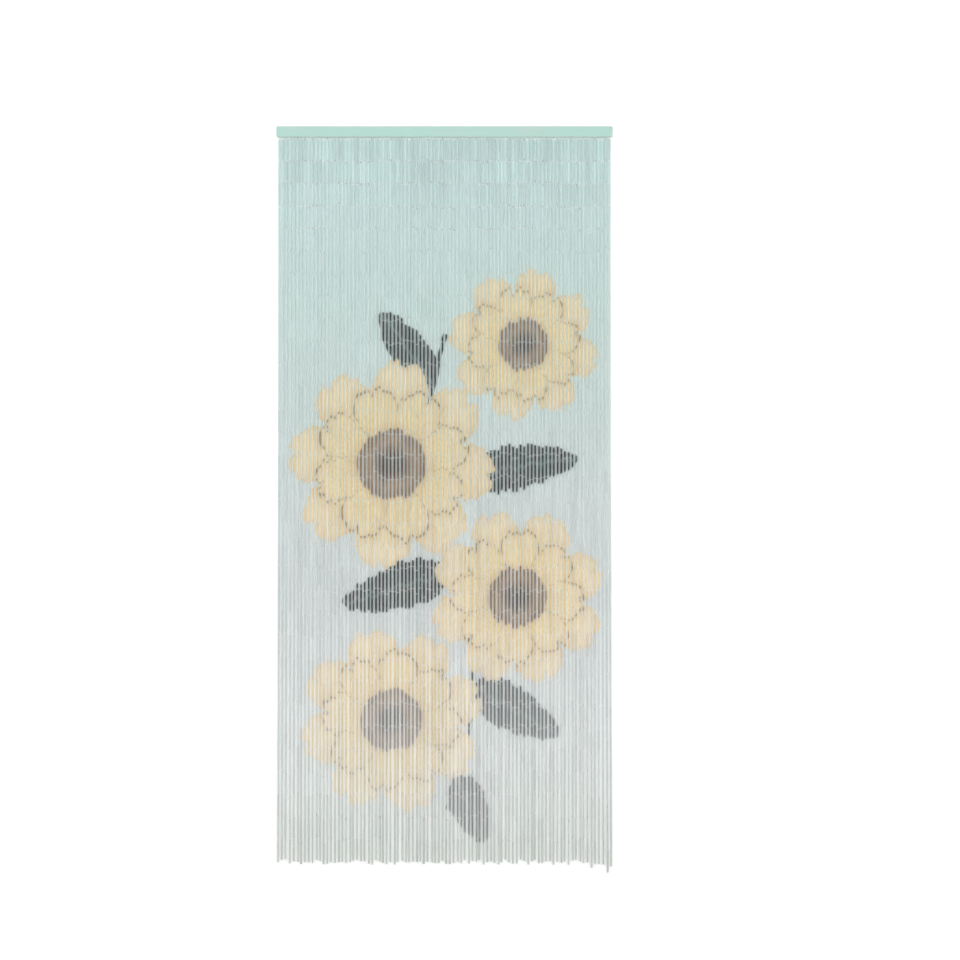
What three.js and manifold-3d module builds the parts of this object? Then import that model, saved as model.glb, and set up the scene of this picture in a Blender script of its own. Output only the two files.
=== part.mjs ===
// Bamboo door curtain: a painted head batten with a row of strands of short bamboo tubes under it.
// Millimetres, +Z up, the front faces -Y. The origin is the centre of the batten's back face,
// which lies against the wall or the door frame.

import * as THREE from 'three';
import Module from 'manifold-3d';

// Overall sizes: the width of the batten, and from its top edge to the end of the longest strand
const CURTAIN_WIDTH = 900;
const CURTAIN_HEIGHT = 2000;

// Head batten
const BATTEN_HEIGHT = 28;
const BATTEN_DEPTH = 12;
const BATTEN_CHAMFER = 1;

// The wire eyes that the strands hang on, as one narrow strip that is parted from the batten
const STRIP_CLEARANCE = 0.3;
const STRIP_HEIGHT = 1.8;
const STRIP_DEPTH = 1.8;
const STRIP_END_INSET = 1;

// Strands: their row across the curtain, and the tubes and wire loops that each is made of
const STRAND_COUNT = 90;
const STRAND_ROW_WIDTH = 890;
const TUBE_WIDTH = 4.8;
const TUBE_LENGTH = 58;
const TUBE_LENGTH_SPREAD = 3.2;
const LOOP_LENGTH = 2.4;
const LOOP_WIDTH = 1.5;
const HANGER_LENGTH = 6;
const HANGER_SPREAD = 0.8;
const TOP_SHOULDER = 0.6;
const NOTCHED_JOINTS = 3;
const LOWER_SECTIONS = 3;

// How unevenly the strands hang: their spacing, and the lean of the foot across the curtain and
// fore and aft. A lift is how far a foot ends above that of the longest strand.
const SPACING_SPREAD = 0.35;
const LEAN_ACROSS = 1.5;
const LEAN_ALONG = 2.5;
const COMMON_LIFT = 28;
const LIFT_SPREAD = 7;

// The first strands at the left foot fan out, the first one most, and end a little higher
const LEFT_EDGE_STRANDS = 6;
const LEFT_EDGE_LIFT = 3;
const LEFT_EDGE_PUSH = 4.6;

// The last strands at the right foot fan out, and two of them end lower than the rest. Strands are
// numbered from 0 at the left; push is how far the foot leans to the right.
const RIGHT_FOOT = [
  { strand: 84, lift: 13, push: 1.4 },
  { strand: 85, lift: 24, push: 0.4 },
  { strand: 86, lift: 23, push: 1.6 },
  { strand: 87, lift: 22, push: 3.4 },
  { strand: 88, lift: 0, push: 5.2 },
  { strand: 89, lift: 17, push: 4.6 },
];

// Numbers that look random but are the same each time: one channel for each thing that varies
const SCATTER_CHANNELS = { spacing: 0, across: 1, along: 2, lift: 3, hanger: 4, tube: 5 };
const SCATTER_CHANNEL_STRIDE = 8191;
const SCATTER_STRAND_STRIDE = 64;
const SCATTER_RATE = 12.9898;
const SCATTER_PHASE = 4.1414;
const SCATTER_GAIN = 43758.5453;

function scatter(strand, channel, step = 0) {
  const seed = strand * SCATTER_STRAND_STRIDE + step + channel * SCATTER_CHANNEL_STRIDE;
  const wave = Math.sin(seed * SCATTER_RATE + SCATTER_PHASE) * SCATTER_GAIN;
  return wave - Math.floor(wave);
}

// The same number spread evenly about zero, from -1 to 1
function scatterBothWays(strand, channel, step = 0) {
  return 2 * scatter(strand, channel, step) - 1;
}

function rightFootRow(strand) {
  return RIGHT_FOOT.find((row) => row.strand === strand);
}

// 1 for the first strand at the left, down to 0 for those that don't fan out there
function leftEdgeShare(strand) {
  return Math.max(0, 1 - strand / LEFT_EDGE_STRANDS);
}

// The height of the strand's foot
function footHeight(strand) {
  const lowest = BATTEN_HEIGHT / 2 - CURTAIN_HEIGHT;
  const row = rightFootRow(strand);
  if (row) {
    return lowest + row.lift;
  }
  const spread = LIFT_SPREAD * scatterBothWays(strand, SCATTER_CHANNELS.lift);
  return lowest + COMMON_LIFT + spread + LEFT_EDGE_LIFT * leftEdgeShare(strand);
}

// The strand's centre line at a share of its length, 0 at the batten and 1 at the foot
function strandCentre(strand, share) {
  const pitch = (STRAND_ROW_WIDTH - TUBE_WIDTH) / (STRAND_COUNT - 1);
  const atTop = pitch * (strand - (STRAND_COUNT - 1) / 2);
  const uneven = SPACING_SPREAD * scatterBothWays(strand, SCATTER_CHANNELS.spacing);
  const row = rightFootRow(strand);
  const lean = LEAN_ACROSS * scatterBothWays(strand, SCATTER_CHANNELS.across);
  const push = row ? row.push : lean - LEFT_EDGE_PUSH * leftEdgeShare(strand);
  const sway = LEAN_ALONG * scatterBothWays(strand, SCATTER_CHANNELS.along);
  return {
    x: atTop + uneven + push * share * share,
    y: -BATTEN_DEPTH / 2 + sway * share * share,
  };
}

// Sections of one strand from its root in the strip down to its foot: height and width of each
function strandSections(strand) {
  const battenFoot = -BATTEN_HEIGHT / 2;
  const foot = footHeight(strand);
  const root = battenFoot - STRIP_CLEARANCE - STRIP_HEIGHT / 2;
  const uneven = HANGER_SPREAD * scatterBothWays(strand, SCATTER_CHANNELS.hanger);
  let top = battenFoot - HANGER_LENGTH - uneven;
  const sections = [
    { z: root, width: LOOP_WIDTH },
    { z: top, width: LOOP_WIDTH },
    { z: top - TOP_SHOULDER, width: TUBE_WIDTH },
  ];
  for (let joint = 0; joint < NOTCHED_JOINTS; joint += 1) {
    const spread = TUBE_LENGTH_SPREAD * scatterBothWays(strand, SCATTER_CHANNELS.tube, joint);
    const end = top - TUBE_LENGTH - spread;
    top = end - LOOP_LENGTH;
    sections.push({ z: end, width: TUBE_WIDTH });
    sections.push({ z: (end + top) / 2, width: LOOP_WIDTH });
    sections.push({ z: top, width: TUBE_WIDTH });
  }
  for (let step = 1; step <= LOWER_SECTIONS; step += 1) {
    const z = top + ((foot - top) * step) / LOWER_SECTIONS;
    sections.push({ z, width: TUBE_WIDTH });
  }
  return sections;
}

// Four corners of a square section, anticlockwise seen from above
function sectionCorners(centre, z, width) {
  const half = width / 2;
  return [
    [centre.x - half, centre.y - half, z],
    [centre.x + half, centre.y - half, z],
    [centre.x + half, centre.y + half, z],
    [centre.x - half, centre.y + half, z],
  ];
}

// A closed four-sided body through square sections, from the top one to the bottom one
function loftGeometry(rings) {
  const sides = 4;
  const index = [0, 1, 2, 0, 2, 3];
  for (let ring = 0; ring + 1 < rings.length; ring += 1) {
    for (let corner = 0; corner < sides; corner += 1) {
      const upper = ring * sides + corner;
      const upperNext = ring * sides + ((corner + 1) % sides);
      const lower = upper + sides;
      const lowerNext = upperNext + sides;
      index.push(upper, lower, lowerNext, upper, lowerNext, upperNext);
    }
  }
  const last = (rings.length - 1) * sides;
  index.push(last, last + 2, last + 1, last, last + 3, last + 2);
  const geometry = new THREE.BufferGeometry();
  geometry.setAttribute('position', new THREE.Float32BufferAttribute(rings.flat(2), 3));
  geometry.setIndex(index);
  return geometry;
}

function strandGeometry(strand) {
  const battenFoot = -BATTEN_HEIGHT / 2;
  const fall = battenFoot - footHeight(strand);
  const rings = strandSections(strand).map(({ z, width }) => {
    const share = (battenFoot - z) / fall;
    return sectionCorners(strandCentre(strand, share), z, width);
  });
  return loftGeometry(rings);
}

function stripGeometry() {
  const half = STRAND_ROW_WIDTH / 2 - STRIP_END_INSET;
  const top = -BATTEN_HEIGHT / 2 - STRIP_CLEARANCE;
  const back = -BATTEN_DEPTH / 2 + STRIP_DEPTH / 2;
  const front = back - STRIP_DEPTH;
  const ring = (z) => [
    [-half, front, z],
    [half, front, z],
    [half, back, z],
    [-half, back, z],
  ];
  return loftGeometry([ring(top), ring(top - STRIP_HEIGHT)]);
}

// A board with a small chamfer along every edge
function battenGeometry() {
  const halfWidth = CURTAIN_WIDTH / 2;
  const halfHeight = BATTEN_HEIGHT / 2;
  const cut = BATTEN_CHAMFER;
  const outline = new THREE.Shape([
    new THREE.Vector2(-halfWidth + cut, -halfHeight),
    new THREE.Vector2(halfWidth - cut, -halfHeight),
    new THREE.Vector2(halfWidth, -halfHeight + cut),
    new THREE.Vector2(halfWidth, halfHeight - cut),
    new THREE.Vector2(halfWidth - cut, halfHeight),
    new THREE.Vector2(-halfWidth + cut, halfHeight),
    new THREE.Vector2(-halfWidth, halfHeight - cut),
    new THREE.Vector2(-halfWidth, -halfHeight + cut),
  ]);
  const geometry = new THREE.ExtrudeGeometry(outline, {
    depth: BATTEN_DEPTH - 2 * cut,
    bevelEnabled: true,
    bevelSegments: 1,
    bevelSize: cut,
    bevelOffset: -cut,
    bevelThickness: cut,
  });
  // The outline was drawn in X and Y: stand it up, with the extrusion running to the front
  geometry.translate(0, 0, cut);
  geometry.rotateX(Math.PI / 2);
  return geometry;
}

function solidFrom(wasm, geometry) {
  const mesh = new wasm.Mesh({
    numProp: 3,
    vertProperties: new Float32Array(geometry.getAttribute('position').array),
    triVerts: new Uint32Array(geometry.getIndex().array),
  });
  return new wasm.Manifold(mesh);
}

function geometryFrom(solid) {
  const mesh = solid.getMesh();
  const geometry = new THREE.BufferGeometry();
  geometry.setAttribute('position', new THREE.BufferAttribute(mesh.vertProperties, mesh.numProp));
  geometry.setIndex(new THREE.BufferAttribute(mesh.triVerts, 1));
  geometry.computeVertexNormals();
  return geometry;
}

// The strip with every strand's root fused into it: one solid
function strandRowGeometry(wasm) {
  let row = solidFrom(wasm, stripGeometry());
  for (let strand = 0; strand < STRAND_COUNT; strand += 1) {
    row = row.add(solidFrom(wasm, strandGeometry(strand)));
  }
  return geometryFrom(row);
}

const BATTEN_PAINT = new THREE.MeshStandardMaterial({
  color: 0xb9ddd3,
  roughness: 0.6,
  metalness: 0,
});

const TUBE_PAINT = new THREE.MeshStandardMaterial({
  color: 0xc6d6d1,
  roughness: 0.55,
  metalness: 0,
});

function namedMesh(name, geometry, material) {
  const mesh = new THREE.Mesh(geometry, material);
  mesh.name = name;
  return mesh;
}

const wasm = await Module();
wasm.setup();

const curtain = new THREE.Group();
curtain.add(namedMesh('head_batten', battenGeometry(), BATTEN_PAINT));
curtain.add(namedMesh('tube_strands', strandRowGeometry(wasm), TUBE_PAINT));

export default curtain;
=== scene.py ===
"""Bamboo door curtain: strands of painted bamboo tubes on wire loops under a painted batten.

Metres, +Z up, the front faces -Y. The origin is the centre of the batten's back face.
"""

import logging
import math
from collections.abc import Callable, Iterator, Mapping, Sequence
from dataclasses import dataclass, field
from enum import Enum
from typing import Any

import bmesh
import bpy
import numpy as np
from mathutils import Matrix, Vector


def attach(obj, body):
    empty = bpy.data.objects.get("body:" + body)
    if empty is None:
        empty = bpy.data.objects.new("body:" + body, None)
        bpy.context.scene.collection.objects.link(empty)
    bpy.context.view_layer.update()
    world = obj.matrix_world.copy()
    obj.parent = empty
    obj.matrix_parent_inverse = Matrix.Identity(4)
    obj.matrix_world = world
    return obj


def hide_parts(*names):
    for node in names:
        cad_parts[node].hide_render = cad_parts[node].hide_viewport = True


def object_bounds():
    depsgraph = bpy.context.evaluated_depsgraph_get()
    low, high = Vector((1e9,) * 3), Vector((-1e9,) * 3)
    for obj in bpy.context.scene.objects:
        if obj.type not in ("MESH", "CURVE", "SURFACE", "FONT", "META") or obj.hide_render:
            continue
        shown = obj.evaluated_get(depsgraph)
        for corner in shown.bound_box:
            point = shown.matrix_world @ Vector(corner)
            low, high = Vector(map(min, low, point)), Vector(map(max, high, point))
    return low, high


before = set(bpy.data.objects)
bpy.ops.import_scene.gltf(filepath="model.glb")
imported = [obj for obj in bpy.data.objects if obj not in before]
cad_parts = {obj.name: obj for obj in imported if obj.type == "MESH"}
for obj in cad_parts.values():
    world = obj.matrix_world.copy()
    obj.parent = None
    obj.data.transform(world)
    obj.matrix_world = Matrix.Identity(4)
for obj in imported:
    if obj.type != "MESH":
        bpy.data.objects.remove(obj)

CAD_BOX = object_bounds()
LOG = logging.getLogger("door_curtain")
BODY = "root"
MM = 0.001

Colour = tuple[float, float, float, float]
Triple = tuple[float, float, float]
Pair = tuple[float, float]

# Where a smooth step begins and ends and, where they aren't 0 and 1, what it gives on each side
Steps = tuple[float, ...]


class Slot(Enum):
    """The record's material slots."""

    BATTEN = "batten_paint"
    BAMBOO = "bamboo_paint"
    WIRE = "loop_wire"


class Node(Enum):
    """The nodes of the fixed frame."""

    BATTEN = "head_batten"
    STRANDS = "tube_strands"


class Channel(Enum):
    """What varies from strand to strand and from tube to tube, each by its own numbers."""

    SPACING = 0
    ACROSS = 1
    ALONG = 2
    LIFT = 3
    HANGER = 4
    TUBE = 5
    THICKNESS = 6
    TONE = 7
    SLIP = 8
    KINK_X = 9
    KINK_Y = 10
    TURN = 11
    KNOT = 12
    HUE = 13
    EYE_TURN = 14


def srgb(red: int, green: int, blue: int) -> Colour:
    """Turns a screen's colour, each channel from 0 to 255, into the linear one a shader takes."""
    shares = [value / 255 for value in (red, green, blue)]
    linear = [s / 12.92 if s <= 0.04045 else ((s + 0.055) / 1.055) ** 2.4 for s in shares]
    return (*linear, 1.0)


def placed(name: str, data: bpy.types.ID) -> bpy.types.Object:
    """Makes an object of a mesh, a lamp or a camera, and puts it in the scene."""
    made = bpy.data.objects.new(name, data)
    bpy.context.scene.collection.objects.link(made)
    return made


@dataclass(frozen=True)
class Scatter:
    """Numbers that look random and are the same each time, as in the curtain's solids."""

    channel_stride: int = 8191
    strand_stride: int = 64
    rate: float = 12.9898
    phase: float = 4.1414
    gain: float = 43758.5453

    def share(self, strand: int, channel: Channel, step: int = 0) -> float:
        """A number from 0 to 1 for what a channel varies, on one strand and at one tube."""
        seed = strand * self.strand_stride + step + channel.value * self.channel_stride
        wave = math.sin(seed * self.rate + self.phase) * self.gain
        return wave - math.floor(wave)

    def both_ways(self, strand: int, channel: Channel, step: int = 0) -> float:
        """The same number spread evenly about zero, from -1 to 1."""
        return 2 * self.share(strand, channel, step) - 1


@dataclass(frozen=True)
class FootRow:
    """One of the strands that fan out at the right foot, in millimetres."""

    strand: int
    lift: float
    push: float


@dataclass(frozen=True)
class Tube:
    """One bamboo tube: where its two ends are, in metres, and how it differs from the others."""

    step: int
    top: Vector
    foot: Vector
    radius: float
    tone: float
    hue: float
    slip: float
    turn: float
    eye_turn: float
    knotted: bool


@dataclass(frozen=True)
class StrandPlan:
    """Where the strands, tubes and joints hang, by the same rule as the solids. Millimetres."""

    curtain_height: float = 2000
    batten_height: float = 28
    batten_depth: float = 12
    count: int = 90
    row_width: float = 890
    tube_width: float = 4.8
    tube_length: float = 58
    tube_length_spread: float = 3.2
    loop_length: float = 2.4
    hanger_length: float = 6
    hanger_spread: float = 0.8
    spacing_spread: float = 0.35
    lean_across: float = 1.5
    lean_along: float = 2.5
    common_lift: float = 28
    lift_spread: float = 7
    left_edge_strands: int = 6
    left_edge_lift: float = 3
    left_edge_push: float = 4.6
    aligned_joints: int = 3
    foot_eye: float = 1.2
    thickness_spread: float = 0.3
    kink_x: float = 0.14
    covered_loop: float = 0.25
    kink_y: float = 0.3
    slip_of_strand: float = 6.0
    slip_of_tube: float = 2.5
    knotted_share: float = 0.09
    strand_tone: float = 0.35
    right_foot: tuple[FootRow, ...] = (
        FootRow(strand=84, lift=13, push=1.4),
        FootRow(strand=85, lift=24, push=0.4),
        FootRow(strand=86, lift=23, push=1.6),
        FootRow(strand=87, lift=22, push=3.4),
        FootRow(strand=88, lift=0, push=5.2),
        FootRow(strand=89, lift=17, push=4.6),
    )
    scatter: Scatter = field(default_factory=Scatter)

    @property
    def batten_foot(self) -> float:
        """The height of the batten's lower face."""
        return -self.batten_height / 2

    def foot_row(self, strand: int) -> FootRow | None:
        """The strand's row in the right foot's table, if it has one."""
        return next((row for row in self.right_foot if row.strand == strand), None)

    def foot_height(self, strand: int) -> float:
        """The height at which a strand ends. Strands are numbered from 0 at the left."""
        lowest = self.batten_height / 2 - self.curtain_height
        row = self.foot_row(strand)
        if row:
            return lowest + row.lift
        spread = self._varied(self.lift_spread, strand, Channel.LIFT)
        return lowest + self.common_lift + spread + self.left_edge_lift * self._edge_share(strand)

    def _varied(self, spread: float, strand: int, channel: Channel, step: int = 0) -> float:
        """How far one strand or tube departs from a size that varies by up to this spread."""
        return spread * self.scatter.both_ways(strand, channel, step)

    def _edge_share(self, strand: int) -> float:
        """1 for the first strand at the left, down to 0 for those that don't fan out there."""
        return max(0.0, 1 - strand / self.left_edge_strands)

    def centre(self, strand: int, height: float) -> tuple[float, float]:
        """X and Y of the strand's centre line at a height, all in millimetres."""
        share = (self.batten_foot - height) / (self.batten_foot - self.foot_height(strand))
        pitch = (self.row_width - self.tube_width) / (self.count - 1)
        at_top = pitch * (strand - (self.count - 1) / 2)
        uneven = self._varied(self.spacing_spread, strand, Channel.SPACING)
        row = self.foot_row(strand)
        lean = self._varied(self.lean_across, strand, Channel.ACROSS)
        push = row.push if row else lean - self.left_edge_push * self._edge_share(strand)
        sway = self._varied(self.lean_along, strand, Channel.ALONG)
        return at_top + uneven + push * share**2, -self.batten_depth / 2 + sway * share**2

    def spans(self, strand: int) -> list[Pair]:
        """The heights of each tube's two ends on a strand, from the batten down."""
        uneven = self._varied(self.hanger_spread, strand, Channel.HANGER)
        top = self.batten_foot - self.hanger_length - uneven
        aligned = range(self.aligned_joints)
        upper = self._chain(top, [self._raw_length(strand, joint) for joint in aligned])
        top = upper[-1][1] - self.loop_length
        room = top - self.foot_height(strand) - self.foot_eye
        count = round((room + self.loop_length) / (self.tube_length + self.loop_length))
        raw = [self._raw_length(strand, self.aligned_joints + n) for n in range(count)]
        fit = (room - (count - 1) * self.loop_length) / sum(raw)
        return upper + self._chain(top, [length * fit for length in raw])

    def _chain(self, top: float, lengths: Sequence[float]) -> list[Pair]:
        """The heights of the ends of tubes of these lengths, linked from a height down."""
        spans = []
        for length in lengths:
            spans.append((top, top - length))
            top -= length + self.loop_length
        return spans

    def _raw_length(self, strand: int, joint: int) -> float:
        """A tube's length as cut."""
        spread = self._varied(self.tube_length_spread, strand, Channel.TUBE, joint)
        return self.tube_length + spread

    def _joint_point(self, strand: int, joint: int, height: float) -> Vector:
        """A point on the strand, moved a little aside as its joint lies, in metres."""
        x, y = self.centre(strand, height)
        x += self._varied(self.kink_x, strand, Channel.KINK_X, joint)
        y += self._varied(self.kink_y, strand, Channel.KINK_Y, joint)
        return Vector((x, y, height)) * MM

    def _tone(self, strand: int, step: int) -> float:
        """How light or dark a tube is, partly as its whole strand is, from -1 to 1."""
        of_strand = self._varied(self.strand_tone, strand, Channel.HUE)
        return of_strand + self._varied(1 - self.strand_tone, strand, Channel.TONE, step)

    def tubes(self, strand: int) -> Iterator[Tube]:
        """Gives each tube of a strand from the batten down."""
        share = self.scatter.share
        strand_slip = self._varied(self.slip_of_strand, strand, Channel.SLIP)
        for step, (top, foot) in enumerate(self.spans(strand)):
            wider = self._varied(self.thickness_spread, strand, Channel.THICKNESS, step)
            tube_slip = self._varied(self.slip_of_tube, strand, Channel.SLIP, step + 1)
            yield Tube(
                step=step,
                top=self._joint_point(strand, step, top + self.covered_loop),
                foot=self._joint_point(strand, step + 1, foot - self.covered_loop),
                radius=(self.tube_width + wider) / 2 * MM,
                tone=self._tone(strand, step),
                hue=self._varied(1.0, strand, Channel.HUE, step + 1),
                slip=(strand_slip + tube_slip) * MM,
                turn=math.tau * share(strand, Channel.TURN, step),
                eye_turn=math.tau * share(strand, Channel.EYE_TURN),
                knotted=share(strand, Channel.KNOT, step) < self.knotted_share,
            )

    def groups(self, size: int) -> Iterator[tuple[int, Iterator[Tube]]]:
        """Gives the pieces that the strands are joined into.

        Args:
            size: How many strands go into a piece.

        Yields:
            The piece's number, from 1, and all the tubes of its strands.
        """
        for number, first in enumerate(range(0, self.count, size), start=1):
            strands = range(first, min(first + size, self.count))
            yield number, (tube for strand in strands for tube in self.tubes(strand))


def _math(operation: str, reflected: bool = False) -> Callable[..., "Shade"]:
    """Makes a method of Shade that adds one Math node.

    Args:
        operation: The node's operation.
        reflected: Whether the socket stands last, as in a number less the socket.

    Returns:
        The method.
    """

    def method(self: "Shade", *others: "Shade | float") -> "Shade":
        """The node's result, from this socket and what stands beside it."""
        values = (*others, self) if reflected else (self, *others)
        return self.recipe.node(
            "ShaderNodeMath", {"operation": operation}, dict(enumerate(values))
        )

    return method


class Shade:
    """A shader socket that takes part in sums: each operation adds its Math node."""

    def __init__(self, recipe: "Recipe", socket: bpy.types.NodeSocket) -> None:
        """Wraps a socket of one recipe's node tree."""
        self.recipe = recipe
        self.socket = socket

    __add__ = __radd__ = _math("ADD")
    __sub__, __rsub__ = _math("SUBTRACT"), _math("SUBTRACT", reflected=True)
    __mul__ = __rmul__ = _math("MULTIPLY")
    __truediv__, __rtruediv__ = _math("DIVIDE"), _math("DIVIDE", reflected=True)
    __pow__, __abs__ = _math("POWER"), _math("ABSOLUTE")
    __lt__, __gt__ = _math("LESS_THAN"), _math("GREATER_THAN")
    least, most = _math("MINIMUM"), _math("MAXIMUM")
    sine, cosine, root = _math("SINE"), _math("COSINE"), _math("SQRT")
    angle_from = _math("ARCTAN2")

    def ease(self, low: float, high: float, start: float = 0.0, end: float = 1.0) -> "Shade":
        """A smooth step.

        Args:
            low: The value at which the step begins.
            high: The value at which it ends.
            start: What it gives below.
            end: What it gives above.

        Returns:
            The stepped value.
        """
        return self.recipe.node(
            "ShaderNodeMapRange",
            {"interpolation_type": "SMOOTHSTEP"},
            {"Value": self, "From Min": low, "From Max": high, "To Min": start, "To Max": end},
        )


class Recipe:
    """One material's node tree, and the methods that add nodes to it."""

    def __init__(self, name: str) -> None:
        """Starts an empty material."""
        self.material = bpy.data.materials.new(name)
        self.material.use_nodes = True
        self.tree = self.material.node_tree
        self.tree.nodes.clear()

    def node(
        self,
        kind: str,
        settings: Mapping[str, Any] | None = None,
        inputs: Mapping[str | int, Any] | None = None,
        output: str | int = 0,
    ) -> Shade:
        """Adds a node.

        Args:
            kind: The node's type.
            settings: Its own properties, or a ramp's stops, which are set first.
            inputs: Values or links for its sockets, by name or number.
            output: The socket to give back, by name or number.

        Returns:
            The socket.
        """
        node = self.tree.nodes.new(kind)
        for name, value in (settings or {}).items():
            if name == "stops":
                self._set_stops(node.color_ramp, value)
            else:
                setattr(node, name, value)
        for name, value in (inputs or {}).items():
            if isinstance(value, Shade):
                self.tree.links.new(value.socket, node.inputs[name])
            else:
                node.inputs[name].default_value = value
        return Shade(self, node.outputs[output])

    @staticmethod
    def _set_stops(ramp: bpy.types.ColorRamp, stops: Sequence[tuple[float, Colour]]) -> None:
        """Sets a ramp's stops, given from its low end to its high end."""
        while len(ramp.elements) < len(stops):
            ramp.elements.new(1.0)
        for element, (position, colour) in zip(ramp.elements, stops):
            element.position = position
            element.color = colour

    def mix(self, first: Any, second: Any, share: Any, blend: str = "MIX") -> Shade:
        """Mixes two colours: the first where the share is 0, and the second where it is 1."""
        settings = {"data_type": "RGBA", "blend_type": blend, "clamp_factor": True}
        return self.node("ShaderNodeMix", settings, {0: share, 6: first, 7: second}, output=2)

    def place(self) -> Shade:
        """Each point's place on its object."""
        return self.node("ShaderNodeTexCoord", output="Object")

    def axis(self, place: Shade, name: str) -> Shade:
        """One axis of a place."""
        return self.node("ShaderNodeSeparateXYZ", None, {0: place}, output=name)

    def noise(self, place: Shade, scale: Triple, detail: float = 2.0) -> Shade:
        """Smooth noise from 0 to 1, as fine along each axis as its scale says."""
        settings = {"operation": "MULTIPLY"}
        stretched = self.node("ShaderNodeVectorMath", settings, {0: place, 1: scale})
        inputs = {"Vector": stretched, "Scale": 1.0, "Detail": detail}
        return self.node("ShaderNodeTexNoise", None, inputs)

    def attribute(self, name: str) -> Shade:
        """A number that the mesh carries."""
        return self.node("ShaderNodeAttribute", {"attribute_name": name}, None, output="Fac")

    def grey(self, value: Shade) -> Shade:
        """The grey of a value."""
        return self.node("ShaderNodeCombineXYZ", None, dict.fromkeys(range(3), value))

    def toned(self, colour: Shade, tone: Shade) -> Shade:
        """A colour made lighter or darker by a factor."""
        return self.mix(colour, self.grey(tone), 1.0, "MULTIPLY")

    def bump(self, height: Shade, strength: float, distance: float) -> Shade:
        """The slope of a fine relief, whose full height is given in metres."""
        inputs = {"Strength": strength, "Distance": distance, "Height": height}
        return self.node("ShaderNodeBump", None, inputs)

    def show(self, surface: Shade) -> bpy.types.Material:
        """Ends the material with a surface."""
        end = self.tree.nodes.new("ShaderNodeOutputMaterial")
        self.tree.links.new(surface.socket, end.inputs["Surface"])
        return self.material

    def principled(self, inputs: Mapping[str, Any]) -> Shade:
        """A principled surface, with values or links for its sockets."""
        return self.node("ShaderNodeBsdfPrincipled", None, inputs)

    def finish(self, inputs: Mapping[str, Any]) -> bpy.types.Material:
        """Ends the material with a principled surface."""
        return self.show(self.principled(inputs))


@dataclass(frozen=True)
class Blossom:
    """A painted rosette: its centre and radius in millimetres, depth from the batten's top."""

    x: float
    depth: float
    radius: float
    turn: float


@dataclass(frozen=True)
class Leaf:
    """A painted leaf: its base, length and width in millimetres, and its heading in degrees."""

    x: float
    depth: float
    length: float
    width: float
    heading: float


@dataclass(frozen=True)
class BlossomColours:
    """The paints of a rosette."""

    petal: Colour = field(default=srgb(230, 212, 162))
    tip: Colour = field(default=srgb(230, 214, 178))
    blush: Colour = field(default=srgb(214, 184, 132))
    contour: Colour = field(default=srgb(146, 132, 98))
    disc_rim: Colour = field(default=srgb(116, 98, 80))
    disc_dark: Colour = field(default=srgb(74, 64, 56))
    disc_core: Colour = field(default=srgb(150, 128, 102))


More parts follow.
